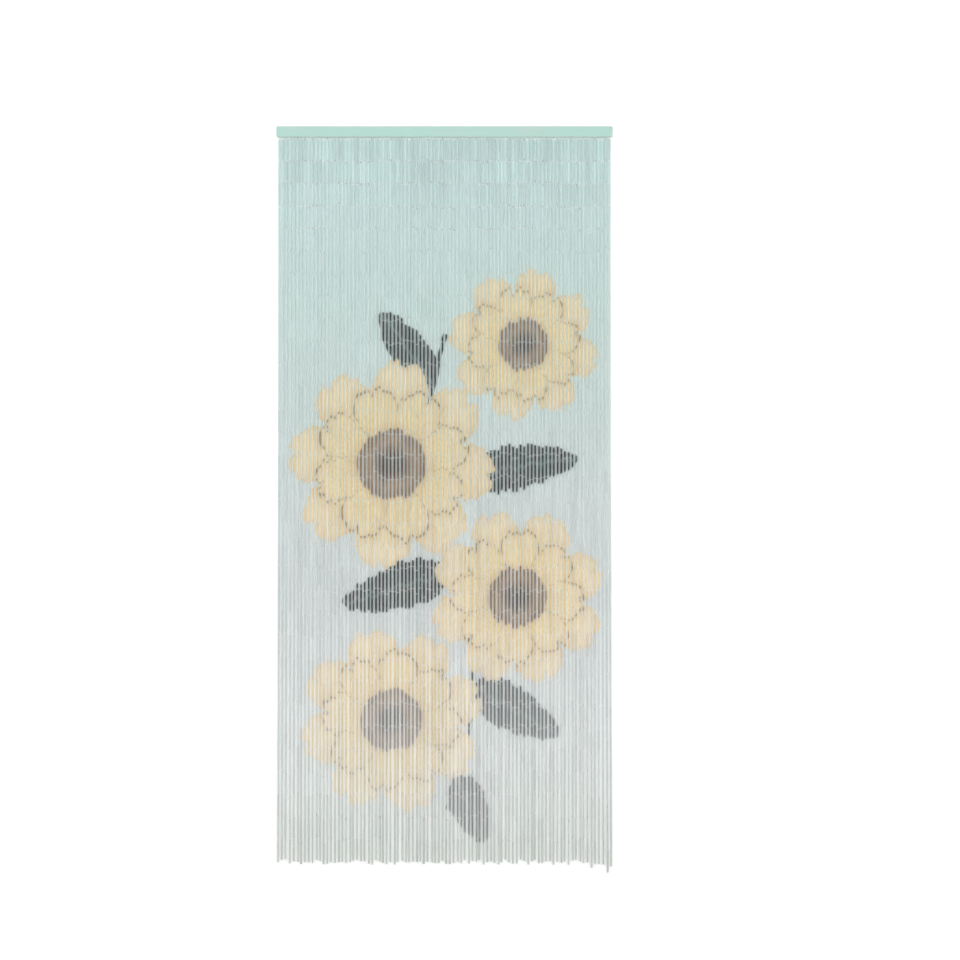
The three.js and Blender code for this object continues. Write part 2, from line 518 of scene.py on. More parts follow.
@dataclass(frozen=True)
class BlossomForm:
    """The one form of every rosette, in shares of its radius.

    It has a back ring and a front ring of broad cleft petals round a low dome.
    """

    petals: int = 8
    back_notch: float = 0.64
    back_rise: float = 0.36
    front_notch: float = 0.5
    front_rise: float = 0.25
    roundness: float = 0.5
    cleft: Steps = (0.0, 0.3, 0.07, 0.0)
    contour: Steps = (0.007, 0.014)
    paint_edge: Steps = (0.0, 0.012)
    tip_fade: Steps = (0.4, 0.95)
    veins: int = 64
    vein_fade: Steps = (0.35, 0.9, 0.42, 0.04)
    ring_shadow: Steps = (0.0, 0.16, 0.45, 0.0)
    back_rim: Steps = (0.0, 0.09, 0.5, 0.0)
    back_seam: Steps = (0.0, 0.07, 0.8, 0.0)
    front_rim: Steps = (0.0, 0.1, 0.4, 0.0)
    front_seam: Steps = (0.0, 0.07, 0.7, 0.0)
    heart: Steps = (0.3, 0.44, 0.6, 0.0)
    disc: float = 0.33
    disc_edge: Steps = (0.97, 1.02, 1.0, 0.0)
    disc_fade: Steps = (0.2, 0.72)
    disc_rim: Steps = (0.66, 0.9)
    speckles_round: int = 36
    speckles_out: int = 160
    speckle_depth: float = 0.7
    colours: BlossomColours = field(default_factory=BlossomColours)

    def edge(self, crest: Shade, side: Shade, notch: float, rise: float) -> Shade:
        """The outline of a ring of petals.

        Args:
            crest: 1 along the middle of each petal and 0 between petals.
            side: 0 along the middle of each petal and 1 between petals.
            notch: How far out two petals part.
            rise: How much farther a petal reaches.

        Returns:
            How far out the petals reach.
        """
        return crest**self.roundness * rise + notch - side.ease(*self.cleft)

    def paint(self, recipe: Recipe, under: Shade, right: Shade, up: Shade, turn: Shade) -> Shade:
        """Paints the rosette.

        Args:
            recipe: The material.
            under: The colour under it.
            right: The place to the right of its centre.
            up: The place above its centre.
            turn: How far the rosette is turned.

        Returns:
            The painted colour.
        """
        paints = self.colours
        radius = (right * right + up * up).root()
        angle = up.angle_from(right) + turn
        crest = abs((angle * (self.petals / 2)).cosine())
        side = abs((angle * (self.petals / 2)).sine())
        back_edge = self.edge(crest, side, self.back_notch, self.back_rise)
        front_edge = self.edge(side, crest, self.front_notch, self.front_rise)
        veins = (angle * self.veins).sine() * 0.5 + 0.5
        petal = recipe.mix(paints.petal, paints.tip, radius.ease(*self.tip_fade))
        petal = recipe.mix(petal, paints.blush, veins * radius.ease(*self.vein_fade))
        shadow = (radius - front_edge).ease(*self.ring_shadow)
        back_rim = (back_edge - radius).ease(*self.back_rim)
        back = recipe.mix(petal, paints.blush, shadow + back_rim)
        back = recipe.mix(back, paints.contour, crest.ease(*self.back_seam))
        front_rim = (front_edge - radius).ease(*self.front_rim)
        front = recipe.mix(petal, paints.blush, front_rim + radius.ease(*self.heart))
        front = recipe.mix(front, paints.contour, side.ease(*self.front_seam))
        off_contour = abs(radius - front_edge).ease(*self.contour)
        painted = recipe.mix(under, back, (back_edge - radius).ease(*self.paint_edge))
        painted = recipe.mix(painted, front, (front_edge - radius).ease(*self.paint_edge))
        off_contour = off_contour.most((radius - back_edge) > 0.0)
        painted = recipe.mix(paints.contour, painted, off_contour)
        return self._paint_disc(recipe, painted, radius, angle)

    def _paint_disc(self, recipe: Recipe, under: Shade, radius: Shade, angle: Shade) -> Shade:
        """Paints the dome: a dark middle that pales outward, and a speckled rim."""
        paints = self.colours
        share = radius / self.disc
        dome = recipe.mix(paints.disc_dark, paints.disc_core, share.ease(*self.disc_fade))
        waves = (angle * self.speckles_round).sine() * (radius * self.speckles_out).sine()
        speckles = (waves * 0.5 + 0.5) * self.speckle_depth + (1 - self.speckle_depth)
        dome = recipe.mix(dome, paints.disc_rim, share.ease(*self.disc_rim) * speckles)
        return recipe.mix(under, dome, share.ease(*self.disc_edge))


@dataclass(frozen=True)
class LeafForm:
    """The one form of every leaf, and of the stem that they stand on."""

    fullness: float = 1.3
    taper: float = 0.6
    blade_edge: Steps = (0.0, 0.06)
    rib: Steps = (0.04, 0.12, 1.0, 0.0)
    side_ribs_along: float = 30
    side_ribs_across: float = 9
    side_rib: Steps = (0.0, 0.3, 0.5, 0.0)
    stem_middle: float = 15
    stem_swing: float = 62
    stem_wave: float = 205
    stem_shift: float = 0.6
    stem_edge: Steps = (6, 7.5, 1.0, 0.0)
    stem_top: float = 560
    stem_foot: float = 1830

    BLADE: Colour = field(default=srgb(42, 58, 58), init=False)
    RIB: Colour = field(default=srgb(92, 112, 108), init=False)

    def paint(self, recipe: Recipe, under: Shade, along: Shade, across: Shade) -> Shade:
        """Paints a leaf.

        Args:
            recipe: The material.
            under: The colour under it.
            along: The place from its base, 0, to its tip, 1.
            across: The place across it, in half widths.

        Returns:
            The painted colour.
        """
        breadth = (along * (1 - along)).most(0.0).root() * (self.fullness - self.taper * along) * 2
        size = abs(across)
        waves = (along * self.side_ribs_along - size * self.side_ribs_across).sine()
        ribs = size.ease(*self.rib).most(abs(waves).ease(*self.side_rib))
        blade = recipe.mix(self.BLADE, self.RIB, ribs)
        return recipe.mix(under, blade, (breadth - size).ease(*self.blade_edge))

    def paint_stem(self, recipe: Recipe, under: Shade, x: Shade, depth: Shade) -> Shade:
        """Paints the winding stem."""
        wave = (depth / self.stem_wave + self.stem_shift).sine() * self.stem_swing
        band = abs(x - self.stem_middle - wave).ease(*self.stem_edge)
        inside = (depth > self.stem_top) * (depth < self.stem_foot)
        return recipe.mix(under, self.BLADE, band * inside)


@dataclass(frozen=True)
class FlowerDesign:
    """The painted design: round rosettes in a zigzag beside a winding stem, with oval leaves."""

    blossoms: tuple[Blossom, ...] = (
        Blossom(x=212, depth=585, radius=205, turn=0.2),
        Blossom(x=-142, depth=905, radius=282, turn=0.9),
        Blossom(x=195, depth=1262, radius=240, turn=0.45),
        Blossom(x=-142, depth=1590, radius=252, turn=1.3),
    )
    leaves: tuple[Leaf, ...] = (
        Leaf(x=-30, depth=690, length=240, width=104, heading=126),
        Leaf(x=62, depth=935, length=300, width=118, heading=9),
        Leaf(x=12, depth=1192, length=300, width=120, heading=197),
        Leaf(x=76, depth=1500, length=270, width=118, heading=-30),
        Leaf(x=34, depth=1745, length=190, width=100, heading=-68),
    )
    blossom_form: BlossomForm = field(default_factory=BlossomForm)
    leaf_form: LeafForm = field(default_factory=LeafForm)
    fade: Steps = (1150, 1900, 0.0, 0.42)

    def paint(self, recipe: Recipe, ground: Shade, x: Shade, depth: Shade) -> Shade:
        """Paints the design over the ground colour, thinner toward the foot.

        Args:
            recipe: The material.
            ground: The colour under the design.
            x: The place across the curtain, in millimetres.
            depth: The place below the batten's top edge, in millimetres.

        Returns:
            The painted colour.
        """
        painted = self.leaf_form.paint_stem(recipe, ground, x, depth)
        leaves = [self._leaf_place(leaf, x, depth) for leaf in self.leaves]
        painted = self.leaf_form.paint(recipe, painted, *self._nearest(leaves))
        blossoms = [self._blossom_place(blossom, x, depth) for blossom in self.blossoms]
        painted = self.blossom_form.paint(recipe, painted, *self._nearest(blossoms))
        return recipe.mix(painted, ground, depth.ease(*self.fade))

    @staticmethod
    def _nearest(places: Sequence[tuple[Any, ...]]) -> list[Any]:
        """Chooses at each point the motif whose middle is nearest.

        Args:
            places: For each motif how far a point lies from its middle, and then its other values.

        Returns:
            The other values of the nearest.
        """
        reach, *chosen = places[0]
        for its_reach, *its_values in places[1:]:
            here = its_reach < reach
            chosen = [here * (new - old) + old for old, new in zip(chosen, its_values)]
            reach = reach.least(its_reach)
        return chosen

    @staticmethod
    def _leaf_place(leaf: Leaf, x: Shade, depth: Shade) -> tuple[Shade, Shade, Shade]:
        """The reach from a leaf's middle, and how far along it and across it a point lies."""
        turn = math.radians(leaf.heading)
        right = x - leaf.x
        up = leaf.depth - depth
        along = (right * math.cos(turn) + up * math.sin(turn)) / leaf.length
        across = (up * math.cos(turn) - right * math.sin(turn)) / (leaf.width / 2)
        lengthwise = along * 2 - 1
        return lengthwise * lengthwise + across * across, along, across

    @staticmethod
    def _blossom_place(one: Blossom, x: Shade, depth: Shade) -> tuple[Shade, Shade, Shade, float]:
        """The reach from a rosette's centre, how far right and up, in radii, and its turn."""
        right, up = (x - one.x) / one.radius, (one.depth - depth) / one.radius
        return right * right + up * up, right, up, one.turn


@dataclass(frozen=True)
class TubePaint:
    """Thin paint on bamboo: its ground from mint to grey-white, the design, the fibres, and
    painted joint shade.
    """

    design: FlowerDesign = field(default_factory=FlowerDesign)
    curtain_height: float = 2000
    batten_top: float = 14
    tone_above: Steps = (100, 260, 0.18, 0.05)
    tone_below: Steps = (600, 1100, 0.0, 0.05)
    fibre_tone: float = 0.1
    hue_range: float = 0.12
    blotch_range: float = 0.2
    grey_shift: float = -0.04
    marked_end: float = 2.2
    marked_hue: float = 0.5
    mark_edge: Steps = (-0.4, 0.4)
    # Painted shade at the joints: how strongly some tube ends are darkened, by height down the
    # curtain
    joint_shade_above: Steps = (0.1, 0.2, 0.5, 0.12)
    joint_shade_below: Steps = (0.8, 0.95, 0.0, 0.33)
    pale_above: Steps = (0.1, 0.2, 0.8, 0.0)
    tube_length: float = 58
    fibre_scale: Triple = (2200.0, 2200.0, 30.0)
    blotch_scale: Triple = (300.0, 300.0, 40.0)
    roughness: float = 0.42
    rougher_fibres: float = 0.18
    shine: float = 0.4
    relief: Pair = (0.25, 0.0002)

    GROUND: tuple[tuple[float, Colour], ...] = field(
        default=(
            (0.0, srgb(183, 211, 209)),
            (0.1, srgb(196, 220, 217)),
            (0.25, srgb(200, 219, 215)),
            (0.5, srgb(207, 217, 216)),
            (0.62, srgb(199, 208, 208)),
            (0.8, srgb(205, 213, 212)),
            (0.92, srgb(202, 209, 205)),
            (1.0, srgb(194, 201, 194)),
        ),
        init=False,
    )
    GREY: Colour = field(default=srgb(206, 210, 206), init=False)
    # Painted shade: the dark mark put on some tube ends, where the gaps between tubes lie
    PAINTED_JOINT_SHADE: Colour = field(default=srgb(92, 98, 94), init=False)
    PALE: Colour = field(default=srgb(244, 250, 246), init=False)

    def build(self) -> bpy.types.Material:
        """Makes the material."""
        recipe = Recipe("tube_paint")
        place = recipe.place()
        x = recipe.axis(place, "X") / MM
        depth = self.batten_top - recipe.axis(place, "Z") / MM
        share = depth / self.curtain_height
        fibres = recipe.noise(place, self.fibre_scale, 3.0)
        blotches = recipe.noise(place, self.blotch_scale)
        hue = recipe.attribute("hue")
        ground = recipe.node("ShaderNodeValToRGB", {"stops": self.GROUND}, {0: share})
        greyed = hue * self.hue_range + blotches * self.blotch_range + self.grey_shift
        ground = recipe.mix(ground, self.GREY, greyed.most(0.0))
        slipped = depth + recipe.attribute("slip") / MM
        painted = self.design.paint(recipe, ground, x, slipped)
        reach = depth.ease(*self.tone_above) + depth.ease(*self.tone_below)
        tone = recipe.attribute("tone") * reach + (fibres - 0.5) * self.fibre_tone + 1.0
        shaded = recipe.toned(painted, tone)
        along = recipe.attribute("along")
        from_end = along.least(1 - along) * self.tube_length
        paled = hue.ease(-1.0, -self.marked_hue, self.marked_end, 0.0)
        pale = (paled - from_end).ease(*self.mark_edge) * share.ease(*self.pale_above)
        # Painted shade at the joints: a dark mark reaching in from the ends of some tubes
        joint_shade_reach = hue.ease(self.marked_hue, 1.0) * self.marked_end + (blotches - 0.5)
        strength = share.ease(*self.joint_shade_above) + share.ease(*self.joint_shade_below)
        painted_joint_shade = (joint_shade_reach - from_end).ease(*self.mark_edge) * strength
        return recipe.finish(
            {
                "Base Color": recipe.mix(recipe.mix(shaded, self.PALE, pale), self.PAINTED_JOINT_SHADE, painted_joint_shade),
                "Roughness": fibres * self.rougher_fibres + self.roughness,
                "Normal": recipe.bump(fibres, *self.relief),
                "Specular IOR Level": self.shine,
            }
        )


@dataclass(frozen=True)
class SpottedFinish:
    """A finish of two colours that fine noise mixes. The spots of it may be rougher."""

    name: str
    light: Colour
    dark: Colour
    scale: float
    detail: float
    spots: Steps
    metallic: float
    roughness: float
    rougher_spots: float

    def build(self) -> bpy.types.Material:
        """Makes the material."""
        recipe = Recipe(self.name)
        noise = recipe.noise(recipe.place(), (self.scale,) * 3, self.detail)
        rough: Shade | float = self.roughness
        if self.rougher_spots:
            rough = noise * self.rougher_spots + self.roughness
        colour = recipe.mix(self.light, self.dark, noise.ease(*self.spots))
        metallic = self.metallic
        return recipe.finish({"Base Color": colour, "Metallic": metallic, "Roughness": rough})


@dataclass(frozen=True)
class CutBamboo(SpottedFinish):
    """The tubes' sawn ends and bores: bare bamboo with its pores."""

    name: str = "cut_bamboo"
    light: Colour = srgb(168, 160, 138)
    dark: Colour = srgb(96, 86, 68)
    scale: float = 3500
    detail: float = 2.0
    spots: Steps = (0.35, 0.7)
    metallic: float = 0.0
    roughness: float = 0.75
    rougher_spots: float = 0.0


@dataclass(frozen=True)
class LoopWire(SpottedFinish):
    """Thin steel wire with a dull coat and a few darker spots."""

    name: str = "loop_wire"
    light: Colour = srgb(150, 154, 152)
    dark: Colour = srgb(84, 86, 84)
    scale: float = 900
    detail: float = 3.0
    spots: Steps = (0.4, 0.75)
    metallic: float = 0.85
    roughness: float = 0.3
    rougher_spots: float = 0.3


@dataclass(frozen=True)
class BattenPaint:
    """Matt mint paint on planed wood: faint grain through it, and thinner paint on the edges."""

    half_height: float = 14
    edge: Steps = (0.2, 1.6, 0.85, 0.0)
    edge_waver: float = 3
    worn: Steps = (0.56, 0.78, 0.0, 0.5)
    grain_scale: Triple = (9.0, 420.0, 420.0)
    brush_scale: Triple = (3.0, 1400.0, 1400.0)
    patch_scale: Triple = (6.0, 30.0, 30.0)
    grain_tone: float = 0.07
    brush_tone: float = 0.05
    grain_in_relief: float = 0.6
    roughness: float = 0.52
    rougher_brushing: float = 0.15
    relief: Pair = (0.3, 0.0003)

    PAINT: Colour = field(default=srgb(175, 210, 201), init=False)
    THIN: Colour = field(default=srgb(190, 206, 196), init=False)

    def build(self) -> bpy.types.Material:
        """Makes the material."""
        recipe = Recipe("batten_paint")
        place = recipe.place()
        grain = recipe.noise(place, self.grain_scale, 4.0)
        brushing = recipe.noise(place, self.brush_scale)
        patches = recipe.noise(place, self.patch_scale)
        from_edge = self.half_height - abs(recipe.axis(place, "Z") / MM)
        near_edge = (from_edge + (patches - 0.5) * self.edge_waver).ease(*self.edge)
        paint = recipe.mix(self.PAINT, self.THIN, near_edge.most(patches.ease(*self.worn)))
        tone = (grain - 0.5) * self.grain_tone + (brushing - 0.5) * self.brush_tone + 1.0
        relief = grain * self.grain_in_relief + brushing * (1 - self.grain_in_relief)
        return recipe.finish(
            {
                "Base Color": recipe.toned(paint, tone),
                "Roughness": brushing * self.rougher_brushing + self.roughness,
                "Normal": recipe.bump(relief, *self.relief),
            }
        )


@dataclass(frozen=True)
class Form:
    """A small closed form of quads, with each corner's place on a unit map cell."""

    quads: np.ndarray
    corners: np.ndarray
    slots: np.ndarray


class FormDraft:
    """Gathers the quads of a form, each with its part of the map cell and its material slot."""

    def __init__(self, sides: int) -> None:
        """Starts an empty form whose rings have this many points."""
        self.sides = sides
        self.quads: list[list[int]] = []
        self.corners: list[tuple[float, float]] = []
        self.slots: list[int] = []

    def quad(
        self, points: list[int], along: Pair, around: Pair, slot: int = 0, upright: bool = False
    ) -> None:
        """Adds a quad.

        Args:
            points: Its points, in order.
            along: Where it begins and ends across the cell.
            around: Where it begins and ends up the cell.
            slot: Its material slot.
            upright: Whether across and up change places.
        """
        (left, right), (low, high) = along, around
        cell = [(left, low), (right, low), (right, high), (left, high)]
        self.quads.append(points)
        self.corners += [(up, across) for across, up in cell] if upright else cell
        self.slots.append(slot)

    def sleeve(
        self,
        first: int,
        second: int,
        along: Pair,
        around: Pair,
        slot: int = 0,
        upright: bool = False,
    ) -> None:
        """Adds the quads between the rings that begin at two points, and shares out the cell."""
        low, high = around
        for side in range(self.sides):
            beside = (side + 1) % self.sides
            points = [first + side, second + side, second + beside, first + beside]
            start, end = (low + (high - low) * n / self.sides for n in (side, side + 1))
            self.quad(points, along, (start, end), slot, upright)

    def done(self) -> Form:
        """The finished form."""
        slots = np.array(self.slots, dtype=np.int32)
        return Form(np.array(self.quads), np.array(self.corners), slots)


class JoinedMesh:
    """Many copies of a few forms, each with its own points, joined into one piece."""

    CELL_MARGIN = 0.04
    SHARP_ANGLE = math.radians(40)

    def __init__(self, name: str, forms: Sequence[Form], materials: Sequence[Any]) -> None:
        """Starts a piece of these forms, with its materials in slot order."""
        self.name = name
        self.forms = forms
        self.materials = materials
        self.copies: list[tuple[int, np.ndarray, dict[str, np.ndarray]]] = []

    def add(self, form: int, points: np.ndarray, layers: dict[str, np.ndarray]) -> None:
        """Adds one copy: which form it takes, its points and the numbers that they carry."""
        self.copies.append((form, points, layers))

    def build(self, slot: Slot, cell_aspect: float = 1.0) -> bpy.types.Object:
        """Joins the copies, and puts the piece on the frame in the strands' place.

        Args:
            slot: The piece's slot in the record; not used.
            cell_aspect: Height over width of one copy's cell on the piece's map.

        Returns:
            The piece.
        """
        mesh = bpy.data.meshes.new(self.name)
        self._fill(mesh, cell_aspect)
        for layer in self.copies[0][2]:
            values = np.concatenate([layers[layer] for _, _, layers in self.copies])
            data = mesh.attributes.new(layer, "FLOAT", "POINT").data
            data.foreach_set("value", values.astype(np.float32))
        for material in self.materials:
            mesh.materials.append(material)
        mesh.set_sharp_from_angle(angle=self.SHARP_ANGLE)
        mesh.update()
        piece = placed(self.name, mesh)
        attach(piece, BODY)
        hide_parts(Node.STRANDS.value)
        return piece

    def _fill(self, mesh: bpy.types.Mesh, cell_aspect: float) -> None:
        """Gives the mesh its points, quads and map, with a cell of the map for each copy."""
        columns = math.ceil(math.sqrt(len(self.copies) * cell_aspect))
        cell = np.array([1 / columns, 1 / math.ceil(len(self.copies) / columns)])
        inner = 1 - 2 * self.CELL_MARGIN
        quads, corners, slots, start = [], [], [], 0
        for number, (form_number, points, _) in enumerate(self.copies):
            form = self.forms[form_number]
            quads.append(form.quads + start)
            origin = np.array([number % columns, number // columns]) * cell
            corners.append(origin + cell * (self.CELL_MARGIN + inner * form.corners))
            slots.append(form.slots)
            start += len(points)
        places = np.concatenate([points for _, points, _ in self.copies])
        mesh.from_pydata(places.tolist(), [], np.concatenate(quads).tolist())
        corners = np.concatenate(corners).astype(np.float32).ravel()
        mesh.uv_layers.new(name="OFBake").data.foreach_set("uv", corners)
        mesh.polygons.foreach_set("material_index", np.concatenate(slots))
        mesh.polygons.foreach_set("use_smooth", np.ones(len(mesh.polygons), dtype=bool))


@dataclass(frozen=True)
class Station:
    """A ring of a tube: along it and up its map, both 0 to 1, and what departs, in millimetres.

    The radius is given only where it isn't the tube's own.
    """

    along: float
    on_map: float
    inset: float = 0.0
    radius: float = 0.0
    swell: float = 0.0


@dataclass(frozen=True)
class BambooTubes:
    """The painted tubes, a hollow form for each, in pieces of a few strands."""

    plan: StrandPlan
    paint: bpy.types.Material
    cut: bpy.types.Material
    sides: int = 12
    strands_per_piece: int = 5
    bore_radius: float = 1.1
    chamfer: float = 0.28
    knot_swell: float = 0.22
    oval: float = 0.03
    bore_strip: float = 0.1
    bore_gap: float = 0.02
    cell_aspect: float = 0.26

    def stations(self, knotted: bool) -> list[Station]:
        """The rings of a tube, from the bore's upper mouth down the outside to its lower mouth.

        Args:
            knotted: Whether the tube has a node of the culm on it.

        Returns:
            The rings, along from 0 to 1, other sizes in millimetres.
        """
        bore, cut = self.bore_radius, self.chamfer
        body = [Station(0.5, 0.5, swell=0.05)]
        if knotted:
            body = [
                Station(0.58, 0.58),
                Station(0.6, 0.6, swell=self.knot_swell),
                Station(0.615, 0.615, swell=-0.06),
                Station(0.635, 0.635),
            ]
        return [
            Station(0.0, 0.0, radius=bore),
            Station(0.0, 0.04, swell=-cut),
            Station(0.0, 0.06, inset=cut),
            *body,
            Station(1.0, 0.94, inset=-cut),
            Station(1.0, 0.96, swell=-cut),
            Station(1.0, 1.0, radius=bore),
        ]

    def form(self, stations: Sequence[Station]) -> Form:
        """The quads of a tube, and their places on a map cell with the bore in a side strip."""
        draft = FormDraft(self.sides)
        outside = (0.0, 1 - self.bore_strip)
        for ring, (station, after) in enumerate(zip(stations, stations[1:])):
            slot = 1 if station.radius or after.radius else 0
            along = (station.on_map, after.on_map)
            start = ring * self.sides
            draft.sleeve(start, start + self.sides, along, outside, slot, upright=True)
        bore = (outside[1] + self.bore_gap, 1.0)
        draft.sleeve((len(stations) - 1) * self.sides, 0, bore, (0.0, 1.0), slot=1)
        return draft.done()

    def points(self, tube: Tube, stations: Sequence[Station]) -> np.ndarray:
        """The points of one tube's rings, in metres."""
        axis = (tube.foot - tube.top).normalized()
        right = Vector((0, 1, 0)).cross(-axis).normalized()
        back = (-axis).cross(right)
        length = (tube.foot - tube.top).length
        turns = tube.turn + np.arange(self.sides) * math.tau / self.sides
        ovals = 1 + self.oval * np.cos(2 * (turns - 2 * tube.turn))
        rim = np.outer(np.cos(turns) * ovals, right) + np.outer(np.sin(turns) * ovals, back)
        rings = []
        for station in stations:
            outer = tube.radius + station.swell * MM
            radius = station.radius * MM if station.radius else outer
            centre = tube.top + axis * (length * station.along + station.inset * MM)
            rings.append(np.array(centre) + rim * radius)
        return np.concatenate(rings)

    def build(self) -> list[bpy.types.Object]:
        """Makes the pieces and puts them on the frame."""
        kinds = [self.stations(False), self.stations(True)]
        forms = [self.form(stations) for stations in kinds]
        alongs = [np.repeat([s.along for s in kind], self.sides) for kind in kinds]
        pieces = []
        for number, tubes in self.plan.groups(self.strands_per_piece):
            joined = JoinedMesh(f"bamboo_tubes_{number:02d}", forms, [self.paint, self.cut])
            for tube in tubes:
                kind = int(tube.knotted)
                along = alongs[kind]
                of_tube = {"tone": tube.tone, "hue": tube.hue, "slip": tube.slip}
                layers = {name: np.full(len(along), value) for name, value in of_tube.items()}
                joined.add(kind, self.points(tube, kinds[kind]), {**layers, "along": along})
            pieces.append(joined.build(Slot.BAMBOO, self.cell_aspect))
        return pieces


@dataclass(frozen=True)
class WireLinks:
    """The wires through the tubes, each with an eye at both ends hooked into its neighbours'."""

    plan: StrandPlan
    wire: bpy.types.Material
    strands_per_piece: int = 15
    eye_radius: float = 0.7
    wire_radius: float = 0.25
    eye_steps: int = 8
    sides: int = 4
    hanger_drop: float = 3.0
    eyes_on_map: float = 0.8
    rod_on_map: Pair = (0.85, 1.0)

    def form(self) -> Form:
        """The quads of one link: two eyes, and the straight wire between them with its ends."""
        draft = FormDraft(self.sides)
        ring = self.eye_steps * self.sides
        for eye in range(2):
            for step in range(self.eye_steps):
                along = tuple((step + n) / self.eye_steps * self.eyes_on_map for n in (0, 1))
                first, second = (
                    eye * ring + (step + n) % self.eye_steps * self.sides for n in (0, 1)
                )
                draft.sleeve(first, second, along, (eye / 2, (eye + 0.9) / 2))
        top, foot = 2 * ring, 2 * ring + self.sides
        draft.sleeve(top, foot, self.rod_on_map, (0.0, 4 / 6))
        draft.quad([top, top + 1, top + 2, top + 3], self.rod_on_map, (4 / 6, 5 / 6))
        draft.quad([foot + 3, foot + 2, foot + 1, foot], self.rod_on_map, (5 / 6, 1.0))
        return draft.done()

    def section(self) -> tuple[np.ndarray, np.ndarray]:
        """Cosines and sines of the corners of the wire's section."""
        corners = (np.arange(self.sides) + 0.5) * math.tau / self.sides
        return np.cos(corners), np.sin(corners)

    def points(self, upper: Vector, lower: Vector, turn: float) -> np.ndarray:
        """The points of a link whose two eyes have these centres, in metres."""
        axis = (lower - upper).normalized()
        flat = Vector((math.cos(turn), math.sin(turn), 0))
        flat = (flat - axis * flat.dot(axis)).normalized()
        normal = flat.cross(axis)
        radius, wire = self.eye_radius * MM, self.wire_radius * MM
        steps = np.arange(self.eye_steps) * math.tau / self.eye_steps
        cosines, sines = self.section()
        out = np.outer(np.cos(steps), flat) + np.outer(np.sin(steps), axis)
        reach = radius + wire * cosines
        rise = np.outer(wire * sines, normal)
        eye = (out[:, None, :] * reach[None, :, None] + rise[None, :, :]).reshape(-1, 3)
        section = np.outer(cosines, flat) * wire - rise
        top = np.array(upper + axis * radius) + section
        end = np.array(lower - axis * radius) + section
        return np.concatenate([np.array(upper) + eye, np.array(lower) + eye, top, end])

    def build(self) -> list[bpy.types.Object]:
        """Makes the pieces and puts them on the frame."""
        form = self.form()
        pieces = []
        for number, tubes in self.plan.groups(self.strands_per_piece):
            joined = JoinedMesh(f"wire_links_{number:02d}", [form], [self.wire])
            for tube in tubes:
                joined.add(0, self._link_points(tube), {})
            pieces.append(joined.build(Slot.WIRE))
        return pieces

    def _link_points(self, tube: Tube) -> np.ndarray:
        """The points of the link through one tube. The first on a strand hangs on its staple."""
        axis = (tube.foot - tube.top).normalized()
        half_gap = self.plan.loop_length / 2 - self.plan.covered_loop
        reach = (half_gap - (self.eye_radius - self.wire_radius)) * MM
        upper = tube.top - axis * reach
        lower = tube.foot + axis * reach
        turn = tube.eye_turn + (tube.step % 2) * math.pi / 2
        if tube.step == 0:
            upper = Vector((upper.x, upper.y, (self.plan.batten_foot - self.hanger_drop) * MM))
            turn = math.pi / 2
        return self.points(upper, lower, turn)


@dataclass(frozen=True)
class HangingEyes:
    """The wire staples under the batten that the first links hang on."""

    plan: StrandPlan
    wire: bpy.types.Material
    links: WireLinks
    half_width: float = 0.8
    in_wood: float = 3.0
    arc_steps: int = 6

    def path(self) -> list[Pair]:
        """The staple's centre line: across and up from the middle of its arc, in millimetres."""
        arc = [math.pi + math.pi * step / self.arc_steps for step in range(self.arc_steps + 1)]
        bend = [(self.half_width * math.cos(a), self.half_width * math.sin(a)) for a in arc]
        rise = self.links.hanger_drop + self.in_wood
        return [(-self.half_width, rise), *bend, (self.half_width, rise)]

    def form(self) -> Form:
        """The quads of a staple, whose two cut ends share the last column of the map cell."""
        steps, sides = len(self.path()), self.links.sides
        draft = FormDraft(sides)
        for step in range(steps - 1):
            along = (step / steps, (step + 1) / steps)
            draft.sleeve(step * sides, (step + 1) * sides, along, (0.0, 1.0))
        last = (steps - 1) * sides
        column = ((steps - 1) / steps, 1.0)
        draft.quad([0, 1, 2, 3], column, (0.0, 0.5))
        draft.quad([last + 3, last + 2, last + 1, last], column, (0.5, 1.0))
        return draft.done()

    def build(self) -> bpy.types.Object:
        """Makes the piece and puts it on the frame."""
        joined = JoinedMesh("hanging_eyes", [self.form()], [self.wire])
        for strand in range(self.plan.count):
            joined.add(0, self._points(next(self.plan.tubes(strand)).top), {})
        return joined.build(Slot.WIRE)

    def _points(self, tube_top: Vector) -> np.ndarray:
        """The points of the staple over a strand whose first tube begins here, in metres."""
        path = self.path()
        wire = self.links.wire_radius * MM
        middle = self.plan.batten_foot - self.links.hanger_drop + self.links.eye_radius
        cosines, sines = self.links.section()
        points = []
        for number, (across, up) in enumerate(path):
            before = path[max(number - 1, 0)]
            after = path[min(number + 1, len(path) - 1)]
            run = Vector((after[0] - before[0], 0, after[1] - before[1])).normalized()
            outward = run.cross(Vector((0, 1, 0)))
            spread = np.outer(cosines, outward) + np.outer(sines, (0, 1, 0))
            centre = (tube_top.x + across * MM, tube_top.y, (middle + up) * MM)
            points.append(np.array(centre) + spread * wire)
        return np.concatenate(points)


@dataclass(frozen=True)
class HeadBatten:
    """The painted batten, which keeps the frame's own solid and takes a new finish."""

    paint: bpy.types.Material

    def dress(self) -> bpy.types.Object:
        """Gives the batten its paint."""
        batten = bpy.data.objects[Node.BATTEN.value]
        for slot in batten.material_slots:
            slot.material = self.paint
        return batten


@dataclass(frozen=True)
class AreaLight:
    """A large square light that points at a place on the curtain's middle line."""

    name: str
    place: Triple
    size: float
    power: float
    aim_height: float

    def build(self) -> None:
        """Makes the light."""
        lamp = bpy.data.lights.new(self.name, "AREA")
        lamp.shape = "SQUARE"
        lamp.size = self.size
        lamp.energy = self.power
        light = placed(self.name, lamp)
        light.location = self.place
        run = Vector((0, 0, self.aim_height)) - Vector(self.place)
        light.rotation_euler = run.to_track_quat("-Z", "Y").to_euler()


